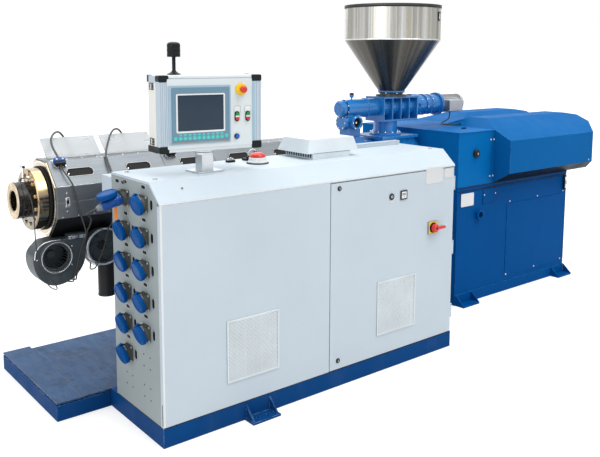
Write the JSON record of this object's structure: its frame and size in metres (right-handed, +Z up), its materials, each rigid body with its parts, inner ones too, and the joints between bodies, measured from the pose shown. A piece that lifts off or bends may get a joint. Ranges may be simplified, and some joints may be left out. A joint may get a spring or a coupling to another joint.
{
  "type": "plastic extruder",
  "caption": "Twin-screw plastic extruder: octagonal barrel covers, conical hopper over a side feeder, drive hoods on a stand, and a control cabinet with sockets and panel.",
  "frame": {"origin": "on the floor under the screw axis, on the base frame's underside, level with the control cabinet's socket end", "axes": "+X along the screw axis from the die end to the drive end, +Z up, and the control cabinet stands on the -Y side"},
  "size_m": [4.828, 1.759, 2.257],
  "materials": {
    "base_paint": "satin",
    "machine_paint": "satin",
    "feeder_paint": "gloss",
    "cabinet_paint": "satin",
    "cover_steel": "brushed",
    "cover_dark": "brushed",
    "bare_steel": "brushed",
    "warm_steel": "polished",
    "dark_iron": "matte",
    "stainless": "polished",
    "guard_clear": "matte",
    "blower_grey": "satin",
    "motor_grey": "satin",
    "panel_aluminium": "satin",
    "vent_plastic": "matte",
    "dark_plastic": "matte",
    "socket_plastic": "gloss",
    "signal_red": "gloss",
    "signal_yellow": "gloss",
    "cable_black": "matte",
    "conduit_grey": "matte"
  },
  "bodies": {
    "machine": {"base_frame": "base_paint", "deck_plates": "base_paint", "barrel_supports": "machine_paint", "stand_body": "machine_paint", "stand_feet": "machine_paint", "stand_panels": "machine_paint", "gearbox_housing": "machine_paint", "front_drive_hood": "machine_paint", "rear_drive_hood": "machine_paint", "barrel": "bare_steel", "upper_covers": "cover_steel", "lower_covers": "cover_dark", "guard_sheets": "guard_clear", "heater_connectors": "socket_plastic", "end_plate": "warm_steel", "end_flange": "warm_steel", "die_body": "dark_iron", "locking_pin": "bare_steel", "blower_housings": "blower_grey", "blower_motors": "dark_iron", "feed_throat": "feeder_paint", "vent_stack": "feeder_paint", "feeder_neck": "feeder_paint", "feeder_body": "feeder_paint", "feeder_tube": "feeder_paint", "feeder_gearbox": "feeder_paint", "feeder_motor": "motor_grey", "hopper_shell": "stainless", "cabinet_plinth": "base_paint", "cabinet_end_panel": "cabinet_paint", "cabinet_right_side": "cabinet_paint", "cabinet_back": "cabinet_paint", "cabinet_roof": "cabinet_paint", "cabinet_front_panel": "cabinet_paint", "left_vent_grille": "vent_plastic", "socket_bases": "dark_plastic", "socket_lids": "socket_plastic", "power_plug": "socket_plastic", "wiring_trunk": "cabinet_paint", "roof_fan": "vent_plastic", "signal_lamp": "signal_red", "panel_post": "panel_aluminium", "plug_lead": "cable_black", "heater_lead": "cable_black", "die_lead": "cable_black", "zone_lead": "cable_black", "front_conduit": "conduit_grey", "second_conduit": "conduit_grey", "motor_lead": "cable_black"},
    "door": {"cabinet_door": "cabinet_paint", "door_fittings": "vent_plastic"},
    "main_switch": {"main_switch_handle": "signal_red"},
    "operator_panel": {"panel_housing": "panel_aluminium", "screen_unit": "dark_plastic", "push_buttons": "signal_yellow", "beacon": "dark_plastic"},
    "emergency_stop": {"emergency_stop": "signal_red"},
    "blower_rotor": {"blower_rotor": "blower_grey"},
    "hopper_lid": {"hopper_lid": "stainless"}
  },
  "joints": [
    {"name": "cabinet_door_hinge", "type": "hinge", "parent": "machine", "child": "door", "pos_m": [2.105, -1, 0.65], "axis": [0, 0, 1], "range_deg": [0, 120]},
    {"name": "main_switch_turn", "type": "hinge", "parent": "door", "child": "main_switch", "pos_m": [1.893, -1.03, 0.822], "axis": [0, -1, 0], "range_deg": [0, 90]},
    {"name": "panel_swivel", "type": "hinge", "parent": "machine", "child": "operator_panel", "pos_m": [0.39, -0.775, 1.4], "axis": [0, 0, 1], "range_deg": [-150, 150]},
    {"name": "emergency_stop_push", "type": "slide", "parent": "operator_panel", "child": "emergency_stop", "axis": [0.1219, 0.9925, 0], "range_m": [0, 0.006]},
    {"name": "blower_rotor_spin", "type": "hinge", "parent": "machine", "child": "blower_rotor", "pos_m": [-0.171, -0.1, 0.794], "axis": [0, 1, 0], "continuous": true},
    {"name": "hopper_lid_hinge", "type": "hinge", "parent": "machine", "child": "hopper_lid", "pos_m": [2.546, 0.375, 2.248], "axis": [-1, 0, 0], "range_deg": [0, 105]}
  ]
}
